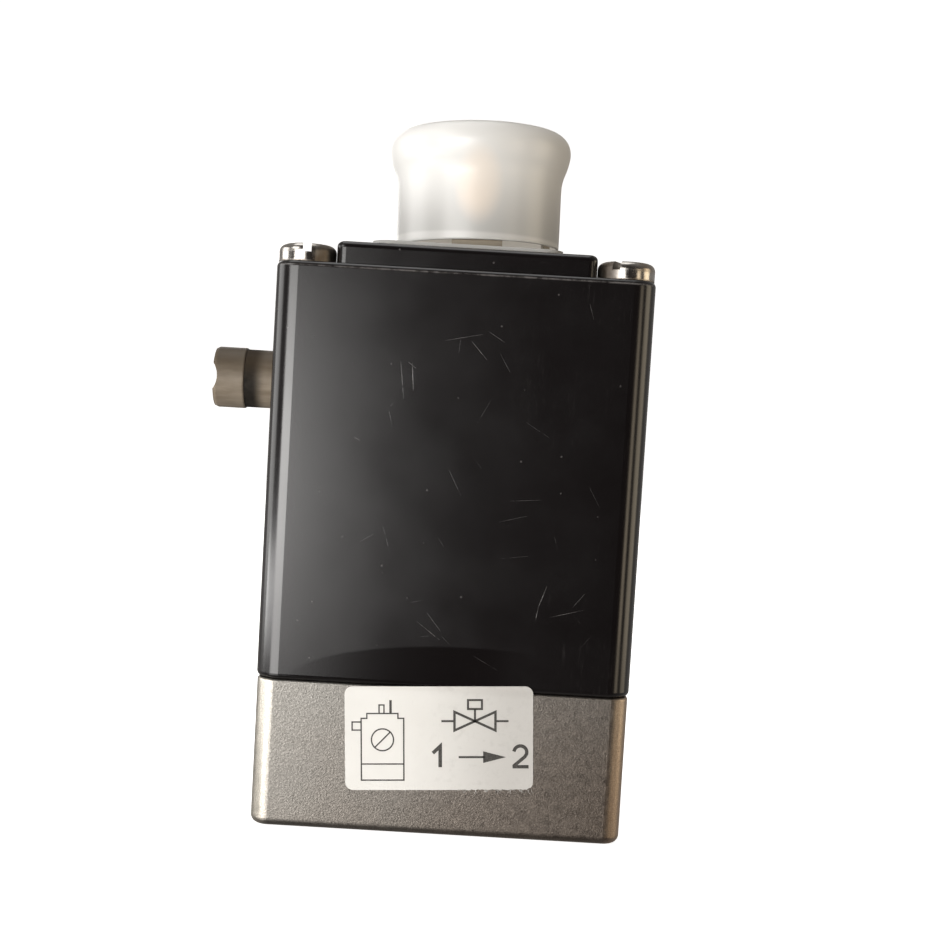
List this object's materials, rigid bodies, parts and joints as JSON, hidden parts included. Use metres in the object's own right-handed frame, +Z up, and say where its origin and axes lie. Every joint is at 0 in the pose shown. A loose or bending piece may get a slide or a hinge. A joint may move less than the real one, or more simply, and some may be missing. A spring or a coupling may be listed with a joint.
{
  "type": "solenoid valve",
  "caption": "Compact solenoid valve: stainless block with side ports, moulded coil housing, tag contacts under a push-on dust cap, and a turning manual override.",
  "frame": {"origin": "centre of the underside of the fluid body", "axes": "+Z up towards the connector, ports along X, the labelled front faces -Y"},
  "size_m": [0.0556, 0.034, 0.0882],
  "materials": {
    "stainless_cast": "blasted cast stainless steel",
    "stainless": "turned stainless steel",
    "housing_plastic": "black satin moulding",
    "screw_plated": "bright nickel plate",
    "cap_plastic": "translucent polyethylene",
    "override_plastic": "grey-brown moulding",
    "contact_metal": "tinned brass",
    "brass": "machined brass",
    "magnet_iron": "soft magnetic steel",
    "spring_steel": "drawn wire",
    "gasket_rubber": "light grey flat gasket",
    "black_rubber": "black elastomer",
    "bobbin_plastic": "natural nylon",
    "copper_winding": "enamelled copper wire",
    "coil_tape": "amber polyester tape",
    "lead_red": "silicone insulation",
    "lead_blue": "silicone insulation",
    "label_paper": "semi-gloss printed label"
  },
  "bodies": {
    "valve": {"valve_body": "stainless_cast", "inlet_seat": "stainless", "diaphragm": "black_rubber", "bearing_plate": "stainless", "plate_screws": "stainless", "pivot_pin": "stainless", "frame_posts": "stainless", "lower_pole_plate": "magnet_iron", "upper_pole_plate": "magnet_iron", "coil_core": "magnet_iron", "bobbin": "bobbin_plastic", "winding": "copper_winding", "winding_tape": "coil_tape", "coil_housing": "housing_plastic", "line_terminal_front": "contact_metal", "line_terminal_rear": "contact_metal", "earth_terminal": "contact_metal", "terminal_carrier": "bobbin_plastic", "lead_front": "lead_red", "lead_rear": "lead_blue", "earth_strap": "contact_metal", "connector_insert": "brass", "connector_gasket": "gasket_rubber", "corner_screws": "screw_plated", "return_spring": "spring_steel", "stop_buffer": "black_rubber", "override_bush": "stainless", "label": "label_paper"},
    "armature": {"armature_plate": "magnet_iron", "rocker_arm": "stainless", "rocker_rivets": "stainless", "seat_seal": "black_rubber", "override_tab": "stainless", "pole_shim": "brass"},
    "override": {"override_knob": "override_plastic", "override_cam_pin": "stainless", "override_o_ring": "black_rubber", "override_clip": "spring_steel"},
    "dust_cap": {"dust_cap": "cap_plastic"}
  },
  "joints": [
    {"name": "armature_pivot", "type": "hinge", "parent": "valve", "child": "armature", "pos_m": [0, 0.004, 0.0215], "axis": [-1, 0, 0], "range_deg": [0, 3.4], "deforming": ["return_spring", "diaphragm"]},
    {"name": "override_turn", "type": "hinge", "parent": "valve", "child": "override", "pos_m": [-0.0233, 0, 0.055], "axis": [-1, 0, 0], "range_deg": [0, 90]},
    {"name": "cap_lift", "type": "slide", "parent": "valve", "child": "dust_cap", "axis": [0, 0, 1], "range_m": [0, 0.03]}
  ],
  "couplings": [
    {"joint": "armature_pivot", "follows": "override_turn", "ratio": 0.0377}
  ]
}
